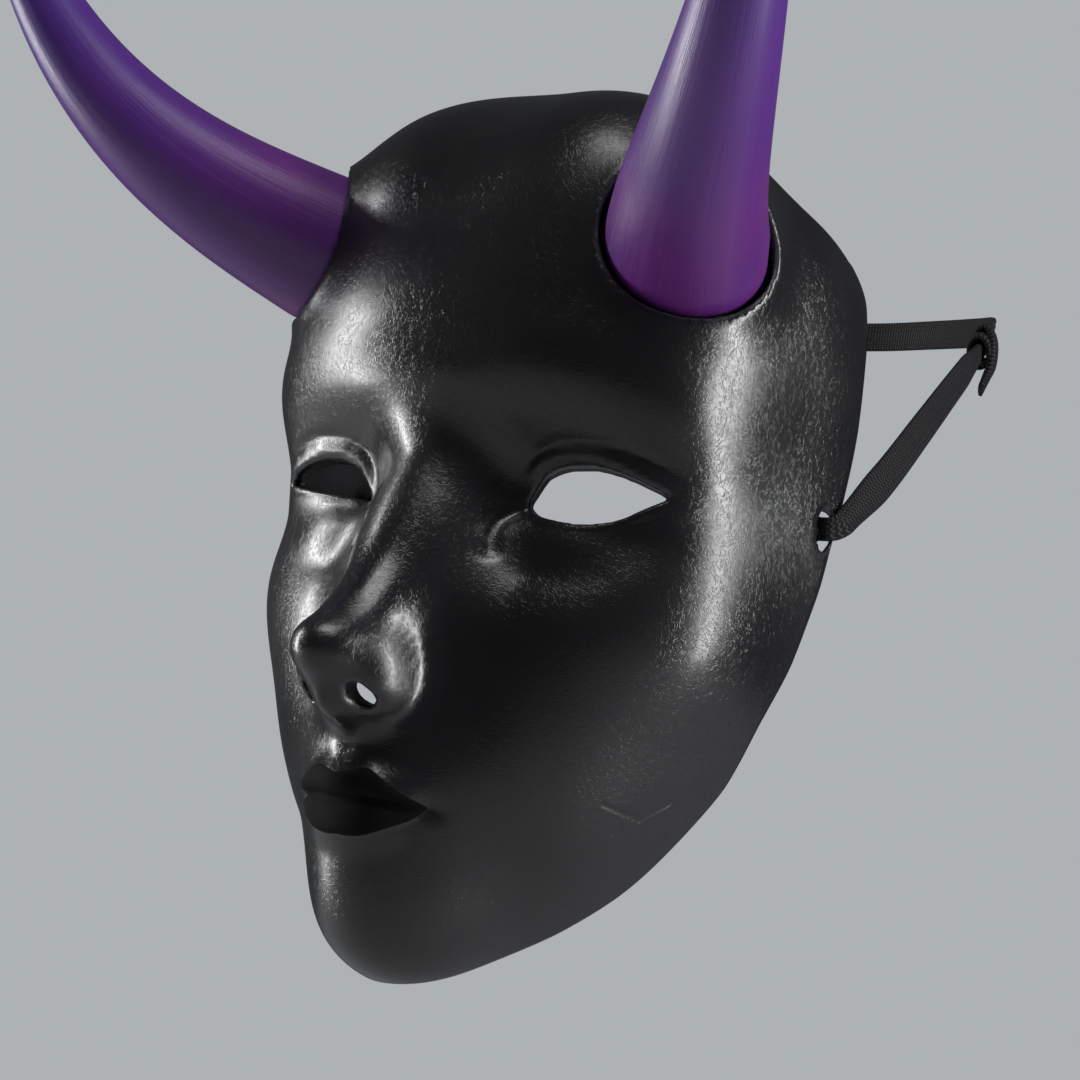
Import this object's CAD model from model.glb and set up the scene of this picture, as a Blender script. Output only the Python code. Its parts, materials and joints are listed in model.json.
import json
import math
import bpy
import numpy as np
from mathutils import Matrix

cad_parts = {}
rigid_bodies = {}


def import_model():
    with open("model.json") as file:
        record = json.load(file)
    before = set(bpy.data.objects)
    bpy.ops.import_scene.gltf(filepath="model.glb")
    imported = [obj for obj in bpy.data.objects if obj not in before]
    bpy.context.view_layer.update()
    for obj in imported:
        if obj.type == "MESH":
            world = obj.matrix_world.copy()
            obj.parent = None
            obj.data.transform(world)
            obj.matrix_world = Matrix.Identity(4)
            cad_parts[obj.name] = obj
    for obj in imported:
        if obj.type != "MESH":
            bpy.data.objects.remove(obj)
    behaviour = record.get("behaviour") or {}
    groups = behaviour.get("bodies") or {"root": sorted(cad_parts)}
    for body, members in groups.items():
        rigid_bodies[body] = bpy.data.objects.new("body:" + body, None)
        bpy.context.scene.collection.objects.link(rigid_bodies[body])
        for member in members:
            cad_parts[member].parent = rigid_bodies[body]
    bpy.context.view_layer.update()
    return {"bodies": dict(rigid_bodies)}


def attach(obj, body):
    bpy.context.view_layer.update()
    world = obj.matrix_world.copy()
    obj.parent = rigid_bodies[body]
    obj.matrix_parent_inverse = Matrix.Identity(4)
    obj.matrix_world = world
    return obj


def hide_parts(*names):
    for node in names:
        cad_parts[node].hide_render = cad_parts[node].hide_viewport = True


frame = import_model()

BODY = list(frame["bodies"])[0]

# Camera, light and floor.
# A long lens looks slightly up at the mask from the wearer's left, rolled a
# little. A pale room, three large soft lights and a round floor far below.
# Sizes in this script are millimetres from the skin of the nose bridge.
SEAT = np.array([0.0, -0.4807, 0.0405])  # rest point inside the nose bridge, the row's origin


def metres(points):
    """Millimetres from the nose bridge to metres in the row's frame."""
    return (np.asarray(points, float) - SEAT) * 0.001


CAMERA_YAW, CAMERA_RISE, CAMERA_ROLL = 37.0, -7.3, 8.2  # degrees
CAMERA_TARGET = (0.0, 40.0, -10.0)
CAMERA_OFFSET = (-2.6, 3.45, 620.0)  # right, down, away
CAMERA_LENS = 88.93


def camera_axes(yaw, rise, roll):
    """Right, down and forward directions of the camera."""
    back = np.array([math.sin(yaw) * math.cos(rise), -math.cos(yaw) * math.cos(rise), math.sin(rise)])
    right = np.array([math.cos(yaw), math.sin(yaw), 0.0])
    down = np.cross(right, back)
    spin = np.array([[math.cos(roll), -math.sin(roll), 0], [math.sin(roll), math.cos(roll), 0], [0, 0, 1]])
    return spin @ np.array([right, down, -back])


axes = camera_axes(*np.radians([CAMERA_YAW, CAMERA_RISE, CAMERA_ROLL]))
eye = np.array(CAMERA_TARGET) - np.array(CAMERA_OFFSET) @ axes
camera_data = bpy.data.cameras.new("camera")
camera_data.lens = CAMERA_LENS
camera_data.sensor_width = 36
camera_data.clip_start = 0.01
camera = bpy.data.objects.new("camera", camera_data)
bpy.context.scene.collection.objects.link(camera)
turn = Matrix([[axes[0][i], -axes[1][i], -axes[2][i]] for i in range(3)])
camera.matrix_world = Matrix.Translation(metres(eye)) @ turn.to_4x4()
bpy.context.scene.camera = camera
bpy.context.scene.view_settings.view_transform = "Standard"

ROOM_COLOUR = (0.423, 0.445, 0.462, 1)
ROOM_SHINE = 0.14  # light of the room on the mask, as a share of its look

world = bpy.data.worlds.new("pale_room")
world.use_nodes = True
room = world.node_tree
room_look = room.nodes["Background"]
room_look.inputs["Color"].default_value = ROOM_COLOUR
room_light = room.nodes.new("ShaderNodeBackground")
room_light.inputs["Color"].default_value = ROOM_COLOUR
room_light.inputs["Strength"].default_value = ROOM_SHINE
room_path = room.nodes.new("ShaderNodeLightPath")
room_mix = room.nodes.new("ShaderNodeMixShader")
room.links.new(room_path.outputs["Is Camera Ray"], room_mix.inputs[0])
room.links.new(room_light.outputs[0], room_mix.inputs[1])
room.links.new(room_look.outputs[0], room_mix.inputs[2])
room.links.new(room_mix.outputs[0], room.nodes["World Output"].inputs["Surface"])
bpy.context.scene.world = world


def soft_light(name, where, width, height, watts):
    """A rectangular soft box aimed at the middle of the mask, metres."""
    data = bpy.data.lights.new(name, "AREA")
    data.shape = "RECTANGLE"
    data.size, data.size_y = width, height
    data.energy = watts
    light = bpy.data.objects.new(name, data)
    bpy.context.scene.collection.objects.link(light)
    here = Matrix.Translation(where).to_translation()
    aim = Matrix.Translation((0, 0.04, -0.01)).to_translation() - here
    light.matrix_world = Matrix.Translation(where) @ aim.to_track_quat("-Z", "Y").to_matrix().to_4x4()


soft_light("left_box", (-1.15, -0.42, 0.10), 0.16, 1.1, 17)
soft_light("right_box", (1.15, 0.36, 0.16), 0.12, 1.2, 18)
soft_light("top_box", (0.25, -0.55, 1.30), 0.9, 0.6, 12)

FLOOR_BELOW = 0.42
bpy.ops.mesh.primitive_circle_add(vertices=96, radius=1.5, fill_type="NGON", location=(0, 0.03, -FLOOR_BELOW))
floor = bpy.context.object
floor.name = "floor"
floor_paint = bpy.data.materials.new("floor_paint")
floor_paint.use_nodes = True
floor_paint.node_tree.nodes["Principled BSDF"].inputs["Base Color"].default_value = (0.46, 0.47, 0.48, 1)
floor_paint.node_tree.nodes["Principled BSDF"].inputs["Roughness"].default_value = 0.8
floor.data.materials.append(floor_paint)

# Mask shell.
# A moulded full-face shell about 2.4 mm thick, satin black with a fine
# leather-like grain. Its closed lips stand in relief under ultra-matt black
# paint. Eyes, nostrils, horn holes and strap holes are cut through it.
UNIT = 100.0
WALL = 2.4
MIDDLE = np.array([0.0, 0.95, -0.08]) * UNIT
REACH = 1.75 * UNIT

# One swelling or hollow a row, in shares of UNIT.
# columns: sign, x, y, z, half width, half depth, half height, blend, mirrored
FORM = [
    (1, 0.0, 0.70, 0.18, 0.68, 0.75, 0.71, 0.0, 0),  # cranium
    (1, 0.33, 0.60, 0.50, 0.30, 0.32, 0.34, 0.22, 1),  # side of the crown
    (1, 0.0, 0.38, 0.42, 0.56, 0.42, 0.56, 0.24, 0),  # forehead
    (1, 0.24, 0.23, 0.65, 0.22, 0.19, 0.22, 0.22, 1),  # frontal swelling
    (1, 0.0, 0.64, -0.30, 0.61, 0.62, 0.64, 0.30, 0),  # face
    (1, 0.0, 0.46, -0.72, 0.34, 0.42, 0.38, 0.26, 0),  # jaw
    (1, 0.38, 0.30, -0.26, 0.19, 0.20, 0.20, 0.24, 1),  # cheekbone
    (1, 0.22, 0.23, -0.52, 0.17, 0.20, 0.24, 0.24, 1),  # cheek
    (1, 0.0, 0.055, -0.67, 0.16, 0.17, 0.20, 0.22, 0),  # muzzle
    (1, 0.0, 0.13, -0.95, 0.155, 0.17, 0.145, 0.22, 0),  # chin
    (1, 0.26, 0.19, 0.22, 0.26, 0.12, 0.16, 0.28, 1),  # brow
    (-1, 0.30, -0.10, -0.02, 0.22, 0.15, 0.10, 0.26, 1),  # eye socket
    (1, 0.35, 0.24, -0.01, 0.20, 0.14, 0.12, 0.05, 1),  # lid
    (1, 0.29, 0.17, -0.12, 0.14, 0.10, 0.06, 0.08, 1),  # tear bag
    (1, 0.06, 0.08, -0.26, 0.10, 0.15, 0.21, 0.14, 1),  # flank of the nose
    (1, 0.44, 0.22, 0.56, 0.16, 0.11, 0.17, 0.16, 1),  # swelling round the horn
]
RIDGE_TOP, RIDGE_FOOT = (0, 0.255, 0.30), (0, -0.135, -0.36)
RIDGE_RADII = (0.065, 0.105)
# columns: x, y, z, half width, half depth, half height, mirrored
NOSE = [
    (0.0, -0.222, -0.42, 0.09, 0.11, 0.08, 0),  # tip
    (0.0, -0.14, -0.52, 0.05, 0.11, 0.055, 0),  # web between the nostrils
    (0.072, -0.13, -0.465, 0.06, 0.095, 0.08, 1),  # wing
]
NOSE_BLEND, NOSE_FACE_BLEND = 0.06, 0.07
BRIDGE_SOFTENING = 0.11  # wider blend of the bridge into the brow
LIPS = [
    (0.0, -0.09, -0.68, 0.08, 0.075, 0.052, 0),  # middle of the upper lip
    (0.06, -0.06, -0.688, 0.09, 0.075, 0.046, 1),  # wings of the upper lip
    (0.0, -0.06, -0.77, 0.12, 0.075, 0.06, 0),  # lower lip
]
LIP_BLEND = 0.035


def ellipsoid(points, place, half):
    scaled = (points - np.array(place)) / np.array(half)
    ratio = np.sqrt((scaled ** 2).sum(-1)) + 1e-9
    slope = np.sqrt(((scaled / np.array(half)) ** 2).sum(-1)) + 1e-9
    return ratio * (ratio - 1) / slope


def smooth_min(a, b, blend):
    overlap = np.maximum(blend - np.abs(a - b), 0) / blend
    return np.minimum(a, b) - overlap * overlap * blend / 4


def both_sides(row, mirrored):
    return [row, (-row[0], row[1], row[2])] if mirrored else [row]


def face_and_nose(points):
    """Distances to the face without its nose and to the nose, in shares of UNIT."""
    shape = None
    for sign, x, y, z, a, b, c, blend, mirrored in FORM:
        for place in both_sides((x, y, z), mirrored):
            other = ellipsoid(points, place, (a, b, c))
            if shape is None:
                shape = other
            elif sign > 0:
                shape = smooth_min(shape, other, blend)
            else:
                shape = -smooth_min(-shape, other, blend)
    top, foot = np.array(RIDGE_TOP), np.array(RIDGE_FOOT)
    axis = foot - top
    part = np.clip(((points - top) @ axis) / (axis @ axis), 0, 1)
    nose = np.sqrt(((points - top - part[..., None] * axis) ** 2).sum(-1))
    nose -= RIDGE_RADII[0] + (RIDGE_RADII[1] - RIDGE_RADII[0]) * part
    for x, y, z, a, b, c, mirrored in NOSE:
        for place in both_sides((x, y, z), mirrored):
            nose = smooth_min(nose, ellipsoid(points, place, (a, b, c)), NOSE_BLEND)
    return shape, nose


def face_distance(points):
    points = points / UNIT
    shape, nose = face_and_nose(points)
    shape = smooth_min(shape, nose, NOSE_FACE_BLEND + BRIDGE_SOFTENING * step(-0.22, 0.08, points[..., 2]))
    for x, y, z, a, b, c, mirrored in LIPS:
        for place in both_sides((x, y, z), mirrored):
            shape = smooth_min(shape, ellipsoid(points, place, (a, b, c)), LIP_BLEND)
    return shape * UNIT


def walk_to_skin(start, direction, inset, steps=45):
    travelled = np.zeros(start.shape[:-1])
    for _ in range(steps):
        travelled += (face_distance(start + travelled[..., None] * direction) + inset) * 0.9
    return start + travelled[..., None] * direction


def unit(vectors):
    return vectors / np.sqrt((vectors ** 2).sum(-1, keepdims=True))


def face_normal(points, small=0.35):
    normal = np.zeros_like(points)
    for axis in range(3):
        step = np.zeros(3)
        step[axis] = small
        normal[..., axis] = face_distance(points + step) - face_distance(points - step)
    return unit(normal)


# Side edge of the shell from the jaw corner to the temple corner.
# columns: share of the way up, angle above the eye line, angle out from the middle
RIM = [
    (0.0, -55.0, 31.0),
    (0.08, -49.0, 40.5),
    (0.17, -40.0, 48.0),
    (0.28, -27.5, 56.5),
    (0.42, -8.5, 62.0),
    (0.56, 11.5, 63.2),
    (0.69, 31.0, 62.0),
    (0.81, 48.0, 57.5),
    (0.90, 60.0, 49.5),
    (0.96, 66.5, 43.5),
    (1.0, 69.5, 39.0),
]
JAW_MIDDLE, CROWN_MIDDLE = -50.5, 57.0
JAW_REACH, CROWN_POWER = 0.5, 7
JAW_CORNER, TEMPLE_CORNER = (0.34, 0.08), (0.16, 0.05)  # rounding, shares across and up
# columns: share of the rows, share of the way up
ROW_SPACING = [(0.0, 0.0), (0.14, 0.10), (0.56, 0.46), (0.72, 0.60), (1.0, 1.0)]


def along(table, where, column):
    """Smooth curve through the rows of a table, first column rising."""
    table = np.array(table, float)
    xs, ys = table[:, 0], table[:, column]
    index = np.clip(np.searchsorted(xs, where, side="left") - 1, 0, len(xs) - 2)
    before, after = np.maximum(index - 1, 0), np.minimum(index + 2, len(xs) - 1)
    width = xs[index + 1] - xs[index]
    part = (where - xs[index]) / width
    left = (ys[index + 1] - ys[before]) / (xs[index + 1] - xs[before])
    right = (ys[after] - ys[index]) / (xs[after] - xs[index])
    square, cube = part ** 2, part ** 3
    return ((2 * cube - 3 * square + 1) * ys[index] + (cube - 2 * square + part) * width * left
            + (3 * square - 2 * cube) * ys[index + 1] + (cube - square) * width * right)


def round_corner(across, up):
    """Pulls the corners of the sheet in to round ones."""
    upper = up > 0.5
    reach_across = np.where(upper, TEMPLE_CORNER[0], JAW_CORNER[0])
    reach_up = np.where(upper, TEMPLE_CORNER[1], JAW_CORNER[1])
    from_side = 1 - (1 - np.abs(across)) / reach_across
    from_end = 1 - np.where(upper, 1 - up, up) / reach_up
    corner = (from_side > 0) & (from_end > 0)
    pull = np.maximum(from_side, from_end) / np.maximum(np.hypot(from_side, from_end), 1e-9)
    end = reach_up * (1 - from_end * pull)
    round_across = np.sign(across) * (1 - reach_across * (1 - from_side * pull))
    return np.where(corner, round_across, across), np.where(corner, np.where(upper, 1 - end, end), up)


def face_angles(across, up):
    across, up = round_corner(across, up)
    side = np.abs(across)
    out = along(RIM, up, 2) * across
    edge_up = along(RIM, up, 1)
    early = np.minimum(side / JAW_REACH, 1)
    jaw = early * early * (3 - 2 * early)
    middle_up = JAW_MIDDLE + (CROWN_MIDDLE - JAW_MIDDLE) * (edge_up - RIM[0][1]) / (RIM[-1][1] - RIM[0][1])
    bend = jaw * (1 - up) + side ** CROWN_POWER * up
    return np.radians(middle_up + (edge_up - middle_up) * bend), np.radians(out)


# Left eye opening in front view, inner corner first. columns: x, z, shares of UNIT
EYE = [
    (0.226, -0.040), (0.240, -0.006), (0.266, 0.026), (0.310, 0.044), (0.360, 0.050),
    (0.410, 0.047), (0.455, 0.037), (0.500, 0.021), (0.540, 0.000), (0.500, -0.030),
    (0.455, -0.056), (0.410, -0.070), (0.360, -0.075), (0.305, -0.070), (0.255, -0.060),
]
EYE_OUTER_ROW = 8
RIGHT_EYE_DEPTH = 0.12  # wearer's right opening, below its corners, as a share of the left one's
NOSTRIL_PLACE = np.array([0.076, -0.195, -0.495]) * UNIT
NOSTRIL_HALF = (2.4, 4.0)
NOSTRIL_TILT, NOSTRIL_SPREAD, NOSTRIL_REACH = math.radians(39), math.radians(18), 6.0
PUNCH_PLACE = (58.0, 2.0)
PUNCH_HALF = (3.4, 4.8)

# Lips in front view. columns: x, upper border, meeting line, lower border, millimetres
LIP_LINES = [
    (0.0, -67.3, -73.0, -80.3),
    (3.0, -66.6, -72.8, -80.4),
    (6.3, -65.7, -72.3, -79.9),
    (9.0, -66.9, -72.4, -78.8),
    (12.0, -68.8, -72.8, -77.2),
    (15.0, -70.7, -72.9, -75.2),
    (17.6, -72.4, -72.7, -73.0),
]
HORN_LINE = np.array([(0.52, 0.11, 0.57), (0.66, -0.115, 0.64), (0.865, -0.33, 0.73), (1.01, -0.51, 1.095)]) * UNIT
HORN_RADII = (17.8, 13.6, 6.8)  # root, middle, end of the curve
HORN_GAP = 1.3
HORN_AXIS = unit(HORN_LINE[1] - HORN_LINE[0])


def smooth_closed(points, per=4):
    """Closed smooth curve through the points."""
    points = np.array(points, float)
    count = len(points)
    out = []
    for i in range(count):
        p0, p1, p2, p3 = (points[(i + k) % count] for k in (-1, 0, 1, 2))
        for t in np.arange(per) / per:
            out.append(0.5 * (2 * p1 + (p2 - p0) * t + (2 * p0 - 5 * p1 + 4 * p2 - p3) * t * t
                              + (3 * p1 - p0 - 3 * p2 + p3) * t ** 3))
    return np.array(out)


def outline_distance(points, outline):
    """Signed distance in the plane to a closed outline, positive outside."""
    best = np.full(points.shape[:-1], 1e9)
    inside = np.zeros(points.shape[:-1], bool)
    for a, b in zip(outline, np.roll(outline, -1, 0)):
        edge = b - a
        part = np.clip(((points - a) @ edge) / (edge @ edge), 0, 1)
        best = np.minimum(best, np.sqrt(((points - a - part[..., None] * edge) ** 2).sum(-1)))
        crosses = (a[1] > points[..., 1]) != (b[1] > points[..., 1])
        with np.errstate(divide="ignore", invalid="ignore"):
            at = a[0] + (points[..., 1] - a[1]) / (b[1] - a[1]) * edge[0]
        inside ^= crosses & (points[..., 0] < at)
    return np.where(inside, -best, best)


def eye_outline(depth_share):
    """Eye opening made shallower below the line between its corners."""
    x, z = np.array(EYE).T * UNIT
    line = z[0] + (z[EYE_OUTER_ROW] - z[0]) * (x - x[0]) / (x[EYE_OUTER_ROW] - x[0])
    return smooth_closed(np.stack([x, np.where(z < line, line + (z - line) * depth_share, z)], -1))


def eye_distance(skin):
    flat = np.stack([np.abs(skin[..., 0]), skin[..., 2]], -1)
    left, right = (outline_distance(flat, eye_outline(share)) for share in (1.0, RIGHT_EYE_DEPTH))
    return np.where(skin[..., 1] < 45, np.where(skin[..., 0] > 0, left, right), 50.0)


def nostril_distance(skin):
    folded = np.stack([np.abs(skin[..., 0]), skin[..., 1], skin[..., 2]], -1) - NOSTRIL_PLACE
    axis = np.array([0, -math.sin(NOSTRIL_TILT), -math.cos(NOSTRIL_TILT)])
    lengthwise = np.array([math.sin(NOSTRIL_SPREAD), math.cos(NOSTRIL_TILT) * math.cos(NOSTRIL_SPREAD),
                           -math.sin(NOSTRIL_TILT) * math.cos(NOSTRIL_SPREAD)])
    sideways = np.cross(lengthwise, axis)
    ratio = np.hypot(folded @ sideways / NOSTRIL_HALF[0], folded @ lengthwise / NOSTRIL_HALF[1])
    return np.where(np.abs(folded @ axis) < NOSTRIL_REACH, (ratio - 1) * NOSTRIL_HALF[0], 50.0)


def horn_distance(skin):
    folded = np.stack([np.abs(skin[..., 0]), skin[..., 1], skin[..., 2]], -1) - HORN_LINE[0]
    lengthwise = folded @ HORN_AXIS
    away = np.sqrt(((folded - lengthwise[..., None] * HORN_AXIS) ** 2).sum(-1))
    return away - HORN_RADII[0] - HORN_GAP


def punch_distance(skin):
    dy, dz = skin[..., 1] - PUNCH_PLACE[0], skin[..., 2] - PUNCH_PLACE[1]
    turned = np.arctan2(dz, dy)
    ragged = 1 + 0.05 * np.sin(3 * turned + 0.7) + 0.03 * np.sin(7 * turned)
    ratio = np.hypot(dy / PUNCH_HALF[0], dz / PUNCH_HALF[1]) / ragged
    return np.where(np.abs(skin[..., 0]) > 50, (ratio - 1) * PUNCH_HALF[0], 50.0)


def step(low, high, value):
    part = np.clip((value - low) / (high - low), 0, 1)
    return part * part * (3 - 2 * part)


def lip_depth(skin):
    """Distance inside the lip borders in front view, negative outside."""
    x = np.minimum(np.abs(skin[..., 0]), LIP_LINES[-1][0])
    beyond = np.abs(skin[..., 0]) - LIP_LINES[-1][0]
    upper, lower = along(LIP_LINES, x, 1), along(LIP_LINES, x, 3)
    depth = np.minimum(upper - skin[..., 2], skin[..., 2] - lower)
    depth = np.where(beyond > 0, np.minimum(depth, -beyond), depth)
    return np.where(skin[..., 1] < 14, depth, -50.0)


# Groove round the inner end of the tear bag, front view, millimetres
TEAR_GROOVE = [(24.0, -4.5), (20.8, -5.4), (18.4, -8.0), (17.9, -11.5), (19.6, -15.5)]


def line_distance(x, z, line):
    best = np.full(x.shape, 1e9)
    for (ax, az), (bx, bz) in zip(line, line[1:]):
        dx, dz = bx - ax, bz - az
        part = np.clip(((x - ax) * dx + (z - az) * dz) / (dx * dx + dz * dz), 0, 1)
        best = np.minimum(best, np.hypot(x - ax - part * dx, z - az - part * dz))
    return best


def relief(skin):
    """Height of the fine modelling above the plain form, millimetres."""
    x, y, z = np.abs(skin[..., 0]), skin[..., 1], skin[..., 2]
    # lips: a raised border, and a crease where they meet
    height = 0.6 * step(-0.4, 0.5, lip_depth(skin))
    meeting = along(LIP_LINES, np.minimum(x, LIP_LINES[-1][0]), 2)
    height -= 1.5 * np.exp(-((z - meeting) / 0.8) ** 2) * (1 - step(16.0, 19.5, x)) * (y < 14)
    height -= 0.7 * np.exp(-((x - 18.6) / 2.2) ** 2 - ((z + 72.8) / 2.0) ** 2)
    # groove between nose and upper lip
    height -= 0.35 * np.exp(-(x / 2.6) ** 2) * step(-58.5, -61.0, z) * (1 - step(-64.0, -67.0, z))
    # upper lid band with the fold above it, thin rim below, groove round the tear bag
    lid = eye_distance(skin)
    above = step(-3.0, 1.0, z + 4.0 - (x - 22.6) * 0.13)
    band = above * (1 - step(49.0, 56.0, x)) * step(20.0, 25.0, x)
    height += band * (0.95 * (1 - step(3.2, 4.2, lid)) - 0.8 * np.exp(-((lid - 4.7) / 0.9) ** 2))
    height += (1 - above) * 0.3 * (1 - step(0.7, 1.5, lid)) * (1 - step(48.0, 54.0, x))
    height -= 0.9 * np.exp(-(line_distance(x, z, TEAR_GROOVE) / 1.6) ** 2)
    # crease where the wing of the nose meets the cheek
    face, nose = face_and_nose(skin / UNIT)
    wing = step(8.0, 11.0, x) * step(-57.5, -54.0, z) * (1 - step(-38.5, -34.5, z))
    height -= 0.65 * np.exp(-((nose - face) * UNIT / 2.6) ** 2) * wing
    # soft lip of the skin round the horn
    height += 1.3 * np.exp(-np.maximum(horn_distance(skin), 0) / 3.2) * (z > 20)
    return height


COLUMNS, ROWS = 196, 208
CROWDING, CROWD_POWER = 0.55, 2.0
EDGE_ROUND = 0.8


def build_shell():
    """Points, faces, depth inside the lips and distance from the edges."""
    even = np.linspace(-1, 1, COLUMNS + 1)
    across = np.sign(even) * (CROWDING * np.abs(even) + (1 - CROWDING) * np.abs(even) ** CROWD_POWER)
    up = along(ROW_SPACING, np.linspace(0, 1, ROWS + 1), 1)
    across, up = np.meshgrid(across, up)
    up_angle, out_angle = face_angles(across, up)
    outward = np.stack([np.sin(out_angle), -np.cos(out_angle) * np.cos(up_angle),
                        np.cos(out_angle) * np.sin(up_angle)], -1)
    start = MIDDLE + REACH * outward
    skin = walk_to_skin(start, -outward, 0.0)
    inner = walk_to_skin(start, -outward, WALL).reshape(-1, 3)
    normal = face_normal(skin)
    keep = np.minimum.reduce([eye_distance(skin), nostril_distance(skin), horn_distance(skin),
                              punch_distance(skin)])
    keep = np.where(np.abs(keep) < 0.12, 0.0, keep)
    # distance to the outer edge, along rows and columns
    steps_across = np.linalg.norm(np.diff(skin, axis=1), axis=-1)
    steps_up = np.linalg.norm(np.diff(skin, axis=0), axis=-1)
    left = np.concatenate([np.zeros((ROWS + 1, 1)), np.cumsum(steps_across, 1)], 1)
    low = np.concatenate([np.zeros((1, COLUMNS + 1)), np.cumsum(steps_up, 0)], 0)
    edge = np.minimum.reduce([left, left[:, -1:] - left, low, low[-1:] - low, np.maximum(keep, 0)])
    near = np.clip(edge, 0, EDGE_ROUND)
    rounding = EDGE_ROUND - np.sqrt(np.maximum(EDGE_ROUND ** 2 - (EDGE_ROUND - near) ** 2, 0))
    height = relief(skin)

    skin, normal = skin.reshape(-1, 3), normal.reshape(-1, 3)
    keep, height, rounding = keep.ravel(), height.ravel(), rounding.ravel()
    lips, edge = lip_depth(skin), edge.ravel()
    outer = skin + normal * (height - rounding)[:, None]
    count = len(skin)
    faces, cuts, pairs = [], {}, []

    def crossing(a, b):
        key = (min(a, b), max(a, b))
        if key not in cuts:
            cuts[key] = len(cuts)
            pairs.append((a, b, keep[a] / (keep[a] - keep[b])))
        return count + cuts[key]

    for row in range(ROWS):
        for column in range(COLUMNS):
            a = row * (COLUMNS + 1) + column
            corners = [a, a + 1, a + COLUMNS + 2, a + COLUMNS + 1]
            if min(keep[c] for c in corners) >= 0:
                faces.append(corners)
                continue
            shape = []
            for here, there in zip(corners, corners[1:] + corners[:1]):
                if keep[here] >= 0:
                    shape.append(here)
                if keep[here] * keep[there] < 0:
                    shape.append(crossing(here, there))
            if len(shape) > 2:
                faces.append(shape)

    first, second, part = (np.array(column) for column in zip(*pairs))
    part = part[:, None]
    cut_skin = skin[first] * (1 - part) + skin[second] * part
    cut_normal = normal[first] * (1 - part) + normal[second] * part
    cut_height = height[first, None] * (1 - part) + height[second, None] * part
    cut_outer = cut_skin + cut_normal * (cut_height - EDGE_ROUND)
    cut_inner = inner[first] * (1 - part) + inner[second] * part
    points = np.concatenate([outer, cut_outer, inner, cut_inner])
    sheet = count + len(pairs)
    lips = np.concatenate([lips, lip_depth(cut_skin), np.full(sheet, -9.0)])
    edge = np.concatenate([edge, np.zeros(len(pairs)), np.full(sheet, 9.0)])

    sides = {(a, b) for face in faces for a, b in zip(face, face[1:] + face[:1])}
    walls = [[b, a, a + sheet, b + sheet] for a, b in sorted(sides) if (b, a) not in sides]
    inner_faces = [[c + sheet for c in reversed(face)] for face in faces]
    everything = faces + inner_faces + walls
    used = sorted({c for face in everything for c in face})
    renumber = {old: new for new, old in enumerate(used)}
    everything = [[renumber[c] for c in face] for face in everything]
    return points[used], everything, lips[used], edge[used]


def add_object(name, points, faces):
    mesh = bpy.data.meshes.new(name)
    mesh.from_pydata(metres(points).tolist(), [], faces)
    mesh.validate()
    mesh.polygons.foreach_set("use_smooth", [True] * len(mesh.polygons))
    thing = bpy.data.objects.new(name, mesh)
    bpy.context.scene.collection.objects.link(thing)
    return thing


def add_values(thing, name, values):
    attribute = thing.data.attributes.new(name, "FLOAT", "POINT")
    attribute.data.foreach_set("value", np.asarray(values, float).ravel())


class Paint:
    """Small builder for one node material."""

    def __init__(self, name):
        self.material = bpy.data.materials.new(name)
        self.material.use_nodes = True
        self.tree = self.material.node_tree
        self.shader = self.tree.nodes["Principled BSDF"]
        self.object_place = self.add("ShaderNodeTexCoord").outputs["Object"]

    def add(self, kind, inputs=(), **settings):
        node = self.tree.nodes.new(kind)
        for key, value in settings.items():
            setattr(node, key, value)
        for key, value in dict(inputs).items():
            self.put(node.inputs[key], value)
        return node

    def put(self, socket, value):
        if isinstance(value, bpy.types.NodeSocket):
            self.tree.links.new(value, socket)
        else:
            socket.default_value = value

    def set(self, **values):
        for key, value in values.items():
            self.put(self.shader.inputs[key.replace("_", " ")], value)

    def math(self, operation, *values):
        node = self.add("ShaderNodeMath", operation=operation)
        for socket, value in zip(node.inputs, values):
            self.put(socket, value)
        return node.outputs[0]

    def vector(self, operation, first, second):
        node = self.add("ShaderNodeVectorMath", {0: first}, operation=operation)
        self.put(node.inputs["Scale"] if operation == "SCALE" else node.inputs[1], second)
        return node.outputs["Value"] if operation == "DOT_PRODUCT" else node.outputs["Vector"]

    def value(self, name):
        return self.add("ShaderNodeAttribute", attribute_name=name).outputs["Fac"]

    def noise(self, scale, detail=2.0, where=None, distortion=0.0):
        node = self.add("ShaderNodeTexNoise", {"Scale": scale, "Detail": detail, "Distortion": distortion,
                                               "Vector": where or self.object_place})
        return node.outputs["Fac"]

    def range(self, value, low, high, to_low, to_high):
        node = self.add("ShaderNodeMapRange", {"Value": value, 1: low, 2: high, 3: to_low, 4: to_high},
                        interpolation_type="SMOOTHSTEP")
        return node.outputs[0]

    def mix(self, factor, a, b):
        return self.add("ShaderNodeMix", {0: factor, 6: a, 7: b}, data_type="RGBA").outputs[2]

    def bump(self, height, strength, distance, below=None):
        inputs = {"Height": height, "Strength": strength, "Distance": distance}
        if below is not None:
            inputs["Normal"] = below
        return self.add("ShaderNodeBump", inputs).outputs[0]

    def line(self, start, end, width):
        """1 on a scratch between two places in millimetres, 0 a width away."""
        start, end = metres(on_skin(start)), metres(on_skin(end))
        heading = end - start
        length = float(np.linalg.norm(heading))
        heading = tuple(heading / length)
        away = self.vector("SUBTRACT", self.object_place, tuple(start))
        part = self.math("MINIMUM", self.math("MAXIMUM", self.vector("DOT_PRODUCT", away, heading), 0.0), length)
        nearest = self.add("ShaderNodeVectorMath", {0: heading}, operation="SCALE")
        self.put(nearest.inputs["Scale"], part)
        gap = self.vector("SUBTRACT", away, nearest.outputs["Vector"])
        span = self.add("ShaderNodeVectorMath", {0: gap}, operation="LENGTH").outputs["Value"]
        return self.range(span, 0.0, width * 0.001, 1.0, 0.0)


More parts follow.
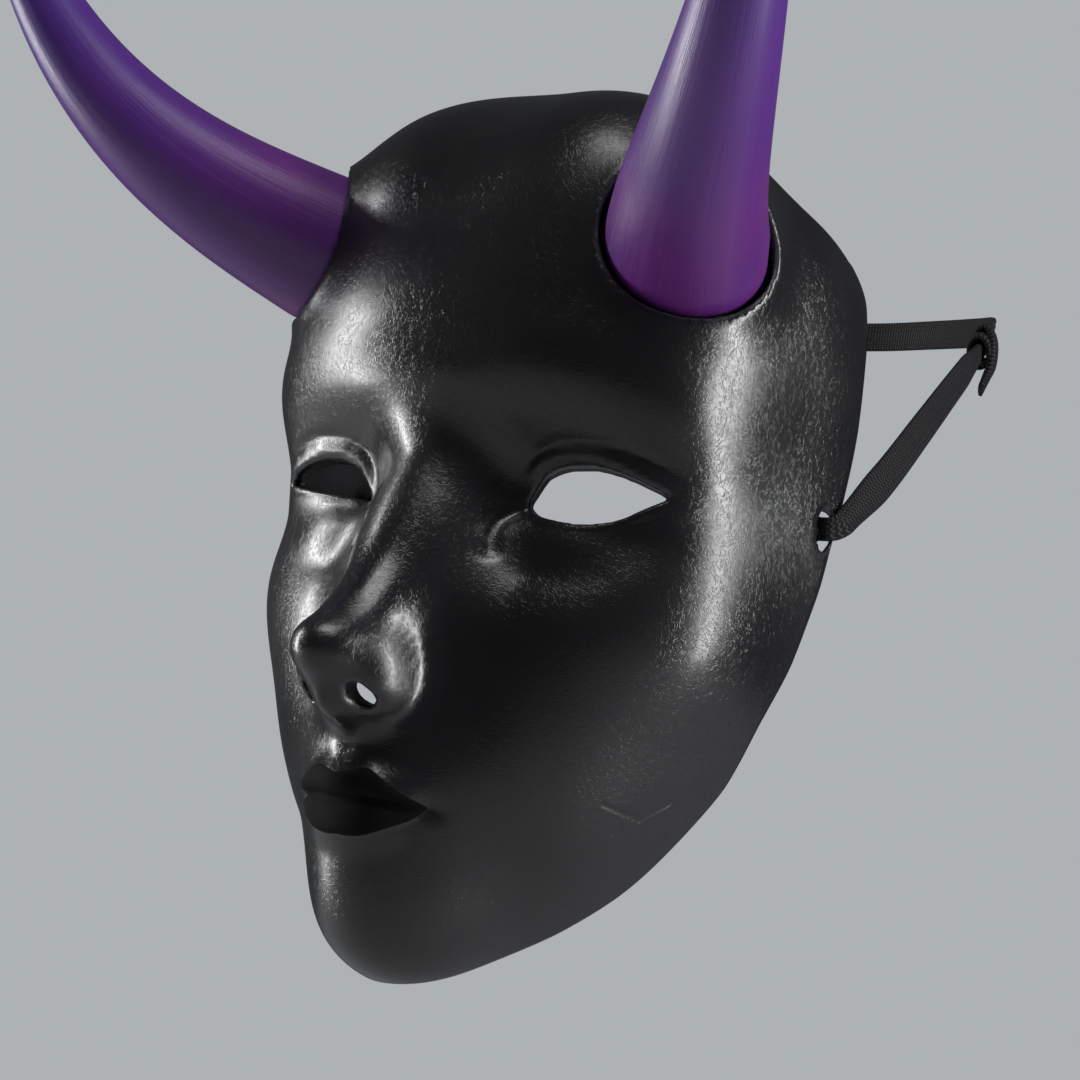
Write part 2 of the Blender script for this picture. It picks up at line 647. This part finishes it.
shell_points, shell_faces, lip_marks, edge_marks = build_shell()
shell = add_object("shell", shell_points, shell_faces)
add_values(shell, "lip_depth", lip_marks)
add_values(shell, "edge", edge_marks)

# Scratches and creases of this shell. columns: start, end, width, depth
SCRATCHES = [
    ((43.1, 22.4, -65.1), (45.1, 33.6, -66.9), 1.0, 1.0),  # cheek
    ((45.1, 33.6, -66.9), (48.5, 39.3, -62.7), 0.9, 0.8),
    ((18.2, -3.5, 60.6), (24.7, -3.7, 48.0), 0.7, 0.35),  # forehead
    ((24.5, 6.0, -5.0), (19.5, 5.0, -5.6), 0.5, 0.6),  # inner corner of the left eye
]
def on_skin(place):
    """The point of the skin outward from the middle of the head through a place."""
    outward = unit(np.array(place) - MIDDLE)
    return walk_to_skin(MIDDLE + REACH * outward, -outward, 0.0)


skin_paint = Paint("satin_black")
lip_factor = skin_paint.range(skin_paint.value("lip_depth"), -0.12, 0.12, 0.0, 1.0)
worms = skin_paint.noise(640.0, 1.5, distortion=1.3)
grain = skin_paint.range(skin_paint.math("ABSOLUTE", skin_paint.math("SUBTRACT", worms, 0.5)), 0.0, 0.07, 1.0, 0.0)
pores = skin_paint.noise(1900.0, 3.0)
swell = skin_paint.noise(40.0, 2.0)
worn = skin_paint.range(skin_paint.value("edge"), 0.1, 0.9, 1.0, 0.0)
black = skin_paint.mix(swell, (0.005, 0.005, 0.006, 1), (0.009, 0.009, 0.010, 1))
black = skin_paint.mix(skin_paint.math("MULTIPLY", worn, 0.5), black, (0.05, 0.05, 0.055, 1))
scratch = skin_paint.math("MULTIPLY", skin_paint.line(*SCRATCHES[0][:3]), SCRATCHES[0][3])
for row in SCRATCHES[1:]:
    one = skin_paint.math("MULTIPLY", skin_paint.line(*row[:3]), row[3])
    scratch = skin_paint.math("MAXIMUM", scratch, one)
skin_paint.set(
    Base_Color=skin_paint.mix(lip_factor, black, (0.0025, 0.0025, 0.0025, 1)),
    Roughness=skin_paint.math("ADD", skin_paint.range(swell, 0.3, 0.7, 0.22, 0.29),
                              skin_paint.math("MULTIPLY", lip_factor, 0.55)),
    Specular_IOR_Level=skin_paint.math("SUBTRACT", 0.5, skin_paint.math("MULTIPLY", lip_factor, 0.42)),
)
texture = skin_paint.math("ADD", skin_paint.math("MULTIPLY", grain, 0.8), skin_paint.math("MULTIPLY", pores, 0.5))
fine = skin_paint.bump(texture, 0.28, 0.00008)
fine = skin_paint.bump(swell, 0.2, 0.0006, fine)
skin_paint.set(Normal=skin_paint.bump(skin_paint.math("SUBTRACT", 1.0, scratch), 0.5, 0.00025, fine))
shell.data.materials.append(skin_paint.material)
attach(shell, BODY)
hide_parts("mask_shell")

# Horns.
# Two long curved horns of light moulded foam or plastic, violet with a satin
# finish and fine lengthwise streaks. Each stands in a round hole at a temple
# and spreads into a plain collar hidden behind the shell.
HORN_BEND = np.array([1.087, -0.61, 1.296]) * UNIT
HORN_TIP = np.array([1.13, -0.64, 1.61]) * UNIT
HORN_TIP_POWER, HORN_TIP_END = 0.8, 0.985
HORN_SEARCH = 0.3
COLLAR_WIDTH, COLLAR_THICKNESS, COLLAR_HOLLOW, PART_GAP = 5.0, 2.0, 0.55, 0.4
HORN_SIDES, HORN_RINGS, HORN_TIP_RINGS = 96, 84, 30
HORN_SIDE = unit(np.cross(HORN_AXIS, [0, 0, 1]))
HORN_UP = np.cross(HORN_SIDE, HORN_AXIS)


def horn_place(part):
    """Centre line: 0 is the root, 1 the end of the curve, 2 the tip."""
    a, b, c, d = HORN_LINE
    part = np.asarray(part, float)[..., None]
    rest = 1 - part
    curve = a * rest ** 3 + 3 * b * rest * rest * part + 3 * c * rest * part * part + d * part ** 3
    before = a + (b - a) * 3 * part
    onward = np.clip(part - 1, 0, 1)
    left = 1 - onward
    end = d * left * left + HORN_BEND * 2 * left * onward + HORN_TIP * onward * onward
    return np.where(part < 0, before, np.where(part > 1, end, curve))


def horn_radius(part):
    root, belly, end = HORN_RADII
    held = np.clip(part, 0, None)
    rest = 1 - held
    curve = root * rest * rest + 2 * belly * rest * held + end * held * held
    return np.where(part > 1, end * np.clip(2 - part, 0, 1) ** HORN_TIP_POWER, curve)


def horn_skin(part, turned):
    heading = unit(horn_place(part + 0.01) - horn_place(part - 0.01))
    sideways = unit(HORN_SIDE - heading * (heading @ HORN_SIDE)[..., None])
    upward = np.cross(sideways, heading)
    radius = horn_radius(part)
    return horn_place(part) + (sideways * (radius * np.cos(turned))[..., None]
                               + upward * (radius * np.sin(turned))[..., None])


def build_horn():
    """Rings of the left horn, with the share along it and the turn round it."""
    turned = np.arange(HORN_SIDES) * 2 * math.pi / HORN_SIDES
    inside, outside = np.full(HORN_SIDES, -HORN_SEARCH), np.full(HORN_SIDES, HORN_SEARCH)
    for _ in range(26):
        halfway = (inside + outside) / 2
        hidden = face_distance(horn_skin(halfway, turned)) < 0
        inside, outside = np.where(hidden, halfway, inside), np.where(hidden, outside, halfway)
    above = HORN_LINE[0] + HORN_AXIS * 0.5 * UNIT
    top = WALL + PART_GAP
    rings, marks = [], []
    for radius, inset in ((HORN_RADII[0] * COLLAR_HOLLOW, top + COLLAR_THICKNESS),
                          (HORN_RADII[0] + COLLAR_WIDTH, top + COLLAR_THICKNESS),
                          (HORN_RADII[0] + COLLAR_WIDTH, top), (HORN_RADII[0], top)):
        start = above + radius * (HORN_SIDE * np.cos(turned)[:, None] + HORN_UP * np.sin(turned)[:, None])
        rings.append(walk_to_skin(start, np.broadcast_to(-HORN_AXIS, start.shape), inset))
        marks.append(np.full(HORN_SIDES, -1.0))
    for ring in range(HORN_RINGS + 1):
        part = outside + (1 - outside) * ring / HORN_RINGS
        rings.append(horn_skin(part, turned))
        marks.append(part)
    for ring in range(1, HORN_TIP_RINGS + 1):
        part = np.full(HORN_SIDES, 1 + HORN_TIP_END * ring / HORN_TIP_RINGS)
        rings.append(horn_skin(part, turned))
        marks.append(part)
    return np.array(rings), np.array(marks), np.broadcast_to(turned, (len(rings), HORN_SIDES))


def ring_faces(rings, sides, flip=False):
    """Faces of a closed stack of rings, with a hub at each end."""
    faces = []
    for ring in range(rings - 1):
        for side in range(sides):
            low, following = ring * sides, (side + 1) % sides
            faces.append([low + side, low + following, low + sides + following, low + sides + side])
    first, last = rings * sides, rings * sides + 1
    top = (rings - 1) * sides
    for side in range(sides):
        following = (side + 1) % sides
        faces.append([first, following, side])
        faces.append([last, top + side, top + following])
    return [face[::-1] for face in faces] if flip else faces


def with_hubs(rings):
    return np.concatenate([rings.reshape(-1, 3), [rings[0].mean(0), rings[-1].mean(0)]])


horn_paint = Paint("violet_horn")
horn_share, horn_turn = horn_paint.value("share"), horn_paint.value("turn")
streak_place = horn_paint.add("ShaderNodeCombineXYZ", {0: horn_turn, 1: horn_paint.math("MULTIPLY", horn_share, 0.16)})
streaks = horn_paint.noise(9.0, 4.0, streak_place.outputs[0])
fine_streaks = horn_paint.noise(34.0, 2.0, streak_place.outputs[0])
cloud = horn_paint.noise(26.0, 2.0)
speckle = horn_paint.noise(2100.0, 2.0)
violet = horn_paint.mix(horn_paint.range(horn_share, 0.0, 1.1, 0.0, 1.0), (0.105, 0.016, 0.150, 1), (0.062, 0.020, 0.190, 1))
violet = horn_paint.mix(horn_paint.range(cloud, 0.35, 0.65, 0.0, 0.45), violet, (0.045, 0.014, 0.150, 1))
violet = horn_paint.mix(horn_paint.range(streaks, 0.52, 0.72, 0.0, 0.16), violet, (0.15, 0.05, 0.28, 1))
buried = horn_paint.range(horn_share, -0.6, -0.5, 1.0, 0.0)
horn_paint.set(
    Base_Color=horn_paint.mix(buried, violet, (0.006, 0.006, 0.008, 1)),
    Roughness=horn_paint.range(fine_streaks, 0.3, 0.7, 0.30, 0.42),
)
streak_bump = horn_paint.bump(streaks, 0.25, 0.0003)
streak_bump = horn_paint.bump(fine_streaks, 0.25, 0.0002, streak_bump)
horn_paint.set(Normal=horn_paint.bump(speckle, 0.25, 0.00008, streak_bump))

horn_rings, horn_marks, horn_turns = build_horn()
for name, side in (("horn_left", 1), ("horn_right", -1)):
    placed = with_hubs(horn_rings * np.array([side, 1, 1]))
    horn = add_object(name + "_skin", placed, ring_faces(len(horn_rings), HORN_SIDES, side < 0))
    add_values(horn, "share", np.append(horn_marks.ravel(), [-1.0, 2.0]))
    # the turn is folded in half so that the streaks meet at the seam
    add_values(horn, "turn", np.append(np.abs(horn_turns.ravel() - math.pi), [0.0, 0.0]))
    horn.data.materials.append(horn_paint.material)
    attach(horn, BODY)
    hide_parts(name)

# Elastic.
# A flat woven black elastic 8 mm wide with six lengthwise ribs. It comes out
# of a punched hole on each side, lies over the thin strip at the edge and runs
# round the back of the head; a ball of knotted band holds it behind each hole.
# Centre line on the wearer's left. columns: x, y, z, shares of UNIT
ELASTIC = np.array([
    (0.703, 0.615, 0.045), (0.727, 0.72, 0.165), (0.735, 0.85, 0.31), (0.728, 0.97, 0.425),
    (0.708, 1.10, 0.53), (0.655, 1.26, 0.62), (0.56, 1.46, 0.695), (0.40, 1.67, 0.75),
    (0.21, 1.81, 0.782), (0.0, 1.86, 0.79),
]) * UNIT
BAND_WIDTH, BAND_THICKNESS, BAND_BUNCH, BAND_LIFT = 8.0, 1.3, 5.4, 0.2
STOPPER_RADIUS = 6.4
KNOT_SHARE, KNOT_HALF_ALONG = 0.432, 7.5
BAND_SIDES, BAND_RIBS = 72, 6


def band_path():
    """Places along the whole elastic, left hole to right hole, and their distances."""
    points = np.concatenate([ELASTIC, ELASTIC[-2::-1] * np.array([-1, 1, 1])])
    padded = np.concatenate([[2 * points[0] - points[1]], points, [2 * points[-1] - points[-2]]])
    places = []
    for p0, p1, p2, p3 in zip(padded, padded[1:], padded[2:], padded[3:]):
        d0, d1, d2 = (math.sqrt(np.linalg.norm(b - a)) for a, b in ((p0, p1), (p1, p2), (p2, p3)))
        slope1 = ((p1 - p0) / d0 - (p2 - p0) / (d0 + d1) + (p2 - p1) / d1) * d1
        slope2 = ((p2 - p1) / d1 - (p3 - p1) / (d1 + d2) + (p3 - p2) / d2) * d1
        t = np.linspace(0, 1, 60, endpoint=False)[:, None]
        places.append(p1 + slope1 * t + (-3 * p1 + 3 * p2 - 2 * slope1 - slope2) * t * t
                      + (2 * p1 - 2 * p2 + slope1 + slope2) * t ** 3)
    places = np.concatenate(places + [points[-1:]])
    return places, np.concatenate([[0], np.cumsum(np.linalg.norm(np.diff(places, axis=0), axis=1))])


PATH_PLACES, PATH_LENGTHS = band_path()


def path_frame(distance):
    """Place, direction across and direction through the band at distances along it."""
    distance = np.asarray(distance, float)
    at = lambda d: np.stack([np.interp(d, PATH_LENGTHS, PATH_PLACES[:, i]) for i in range(3)], -1)
    place = at(distance)
    end = PATH_LENGTHS[-1]
    heading = unit(at(np.minimum(distance + 1.5, end)) - at(np.maximum(distance - 1.5, 0)))
    away = unit((place - MIDDLE) * np.array([1, 1, 0]))
    across = unit(np.cross(heading, away))
    return place, heading, across, np.cross(across, heading)


def band_ring(place, across, through, width, thickness, roundness, ribs):
    """One section: roundness 1 is an ellipse, towards 0 a flat band with ribs."""
    turned = np.arange(BAND_SIDES) * 2 * math.pi / BAND_SIDES
    cosine, sine = np.cos(turned), np.sin(turned)
    side = np.sign(cosine) * np.abs(cosine) ** (0.75 + 0.25 * roundness)
    high = np.sign(sine) * np.abs(sine) ** (0.3 + 0.7 * roundness)
    high = high * (1 + ribs * 0.30 * (np.cos(math.pi * BAND_RIBS * (side + 1)) * -0.5 - 0.2))
    return (place + across * (side * width / 2)[:, None] + through * (high * thickness / 2)[:, None],
            side * width / 2)


def build_band(length):
    """Left band: stopper ball, squeezed length in the hole, then the flat band."""
    hole_y, hole_z = PUNCH_PLACE
    start = np.array([UNIT, hole_y, hole_z])
    left = np.array([-1.0, 0.0, 0.0])
    inner_x, outer_x = (walk_to_skin(start, left, inset)[0] for inset in (WALL, 0.0))
    hole_across, hole_through = np.array([0, 0, -1.0]), np.array([0, -1.0, 0])
    rings, widths, distances = [], [], []

    def put(distance, *ring):
        places, side = band_ring(*ring)
        rings.append(places)
        widths.append(side)
        distances.append(np.full(BAND_SIDES, distance))

    ball_x = inner_x - PART_GAP - STOPPER_RADIUS
    for turned in np.radians(np.linspace(6, 152, 20)):
        lumps = 1 + 0.05 * math.sin(5 * turned)
        size = 2 * STOPPER_RADIUS * math.sin(turned) * lumps
        centre = np.array([ball_x - STOPPER_RADIUS * math.cos(turned), hole_y, hole_z])
        put(-25 + math.degrees(turned) / 10, centre, hole_across, hole_through, size, size, 1.0, 0.0)
    for share in np.linspace(0, 1, 4):
        x = inner_x + (outer_x - inner_x) * share + BAND_LIFT
        put(-6 + 3 * share, np.array([x, hole_y, hole_z]), hole_across, hole_through, BAND_BUNCH,
            BAND_THICKNESS * 1.5, 0.6, 0.5)
    # over the strip at the edge: the band turns from straight out to lying along the head
    from_place = np.array([outer_x + BAND_LIFT, hole_y, hole_z])
    to_place, to_heading, to_across, to_through = path_frame(0.0)
    over = to_place - to_heading * 2.2 + to_through * 0.3
    for share in np.linspace(0, 1, 9)[1:-1]:
        rest = 1 - share
        place = from_place * rest * rest + 2 * over * rest * share + to_place * share * share
        across = unit(hole_across * rest + to_across * share)
        through = unit(hole_through * rest + to_through * share)
        put(-3 + 3 * share, place, across, through, BAND_BUNCH + 0.6 * share,
            BAND_THICKNESS * (1.5 - 0.3 * share), 0.6 * rest, 0.5 + 0.5 * share)
    count = int(length / 1.1)
    place, _, across, through = path_frame(np.linspace(0, length, count + 1))
    for index in range(count + 1):
        distance = length * index / count
        spread = float(step(0.0, 14.0, distance))
        squeeze = float(step(length - 9.0, length, distance))
        width = BAND_BUNCH + 0.6 + (BAND_WIDTH - BAND_BUNCH - 0.6) * spread - 2.6 * squeeze
        put(distance, place[index], across[index], through[index], width,
            BAND_THICKNESS * (1.2 - 0.2 * spread + 0.5 * squeeze), 0.0, 1.0)
    return np.array(rings), np.array(widths), np.array(distances)


elastic_paint = Paint("woven_elastic")
band_across, band_along = elastic_paint.value("across"), elastic_paint.value("along")
rib = elastic_paint.math("SINE", elastic_paint.math("MULTIPLY", band_across, 2 * math.pi * BAND_RIBS / BAND_WIDTH))
stitch = elastic_paint.math("SINE", elastic_paint.math(
    "ADD", elastic_paint.math("MULTIPLY", band_along, 2 * math.pi / 0.9), elastic_paint.math("MULTIPLY", rib, 1.2)))
fuzz = elastic_paint.noise(2600.0, 3.0)
bead = elastic_paint.range(stitch, -0.6, 0.9, 0.0, 1.0)
thread = elastic_paint.mix(elastic_paint.math("MULTIPLY", bead, 0.8), (0.002, 0.002, 0.003, 1), (0.010, 0.010, 0.012, 1))
elastic_paint.set(
    Base_Color=elastic_paint.mix(elastic_paint.range(fuzz, 0.55, 0.8, 0.0, 0.5), thread, (0.020, 0.020, 0.023, 1)),
    Roughness=elastic_paint.range(bead, 0.0, 1.0, 0.85, 0.55),
    Specular_IOR_Level=0.25,
)
weave = elastic_paint.bump(bead, 0.9, 0.00025)
elastic_paint.set(Normal=elastic_paint.bump(fuzz, 0.4, 0.00012, weave))


def dress_band(thing, widths, distances, nodes):
    add_values(thing, "across", widths)
    add_values(thing, "along", distances)
    thing.data.materials.append(elastic_paint.material)
    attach(thing, BODY)
    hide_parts(*nodes)


path_length = PATH_LENGTHS[-1]
knot_distance = path_length * KNOT_SHARE / 2
knot_reach = KNOT_HALF_ALONG + PART_GAP
for name, length, side in (("elastic_short", knot_distance - knot_reach, 1),
                           ("elastic_long", path_length - knot_distance - knot_reach, -1)):
    rings, widths, distances = build_band(length)
    band = add_object(name + "_band", with_hubs(rings * np.array([side, 1, 1])),
                      ring_faces(len(rings), BAND_SIDES, side > 0))
    dress_band(band, np.append(widths, [0.0, 0.0]), np.append(distances, [-25.0, length]), [name])

# Knot of the elastic.
# Where the two lengths meet, behind the left ear, the band is tied: two turns
# wrapped round it, a flat loop standing up and a short tail cut at a slant.
KNOT_PLACE, KNOT_HEADING, KNOT_ACROSS, KNOT_OUT = path_frame(knot_distance)
KNOT_RISE = unit(np.array([0, 0, 1.0]) - KNOT_OUT * KNOT_OUT[2])  # up along the head
KNOT_BACK = np.cross(KNOT_OUT, KNOT_RISE)
FOLD_DROP = 2.5
# Folded band of the loop and the tail. columns: along the rise, out, back, width, thickness
FOLD = [
    (-7.4, 0.8, -1.4, 4.6, 1.2),
    (-4.4, 1.9, -0.8, 5.6, 1.4),
    (-1.0, 3.0, 0.0, 6.2, 1.8),
    (3.5, 3.0, 0.4, 6.4, 1.9),
    (6.6, 2.1, 0.5, 6.2, 1.8),
    (7.7, 0.6, 0.4, 6.0, 1.7),
    (6.6, -0.9, 0.2, 5.8, 1.6),
    (3.0, -1.6, 0.0, 5.6, 1.4),
    (-1.0, -1.2, 0.0, 5.0, 1.4),
]


def sweep(places, across, widths, thicknesses, closed_slant=0.0):
    """Ribbed band along a short line of places."""
    heading = unit(np.gradient(places, axis=0))
    across = unit(across - heading * (across * heading).sum(-1, keepdims=True))
    through = np.cross(across, heading)
    travelled = np.concatenate([[0], np.cumsum(np.linalg.norm(np.diff(places, axis=0), axis=1))])
    rings, sides = [], []
    for index, place in enumerate(places):
        ring, side = band_ring(place, across[index], through[index], widths[index], thicknesses[index], 0.15, 1.0)
        if closed_slant and index < 3:
            ring = ring + heading[index] * (side * closed_slant)[:, None]
        rings.append(ring)
        sides.append(side)
    distances = np.repeat(travelled[:, None], BAND_SIDES, 1)
    return np.array(rings), np.array(sides), distances


def build_fold():
    fine = np.linspace(0, len(FOLD) - 1, 60)
    table = [(index,) + row for index, row in enumerate(FOLD)]
    rise, out, back, width, thickness = (along(table, fine, column) for column in range(1, 6))
    places = KNOT_PLACE + (rise[:, None] - FOLD_DROP) * KNOT_RISE + out[:, None] * KNOT_OUT + back[:, None] * KNOT_BACK
    return sweep(places, np.broadcast_to(KNOT_BACK, places.shape), width, thickness, 0.55)


def build_wrap():
    """Two turns round the band, one beside the other."""
    turned = np.linspace(0, 4 * math.pi, 150)
    slide = (turned / (4 * math.pi) - 0.5) * 4.4
    tight = 1 - 0.55 * (1 - np.minimum(step(0, 1.2, turned), step(0, 1.2, 4 * math.pi - turned)))
    places = (KNOT_PLACE + slide[:, None] * KNOT_HEADING
              + (np.cos(turned) * 4.0 * tight)[:, None] * KNOT_ACROSS
              + (np.sin(turned) * 2.5 * tight)[:, None] * KNOT_OUT)
    width = 4.6 * np.ones(len(turned))
    return sweep(places, np.broadcast_to(KNOT_HEADING, places.shape), width, 1.4 * np.ones(len(turned)))


def build_core():
    """The two ends of the band inside the knot."""
    distances = np.linspace(knot_distance - knot_reach + 0.1, knot_distance + knot_reach - 0.1, 40)
    place, _, across, _ = path_frame(distances)
    part = np.abs(distances - knot_distance) / knot_reach
    width = 5.2 - 1.2 * (1 - part)
    return sweep(place, across, width, 2.1 - 0.3 * part)


knot_points, knot_faces, knot_sides, knot_distances = [], [], [], []
base = 0
for rings, sides, distances in (build_fold(), build_wrap(), build_core()):
    knot_points.append(with_hubs(rings))
    knot_faces += [[corner + base for corner in face] for face in ring_faces(len(rings), BAND_SIDES)]
    knot_sides.append(np.append(sides, [0.0, 0.0]))
    knot_distances.append(np.append(distances, [0.0, 0.0]))
    base += len(knot_points[-1])
knot = add_object("elastic_knot_tie", np.concatenate(knot_points), knot_faces)
dress_band(knot, np.concatenate(knot_sides), np.concatenate(knot_distances), ["elastic_knot"])
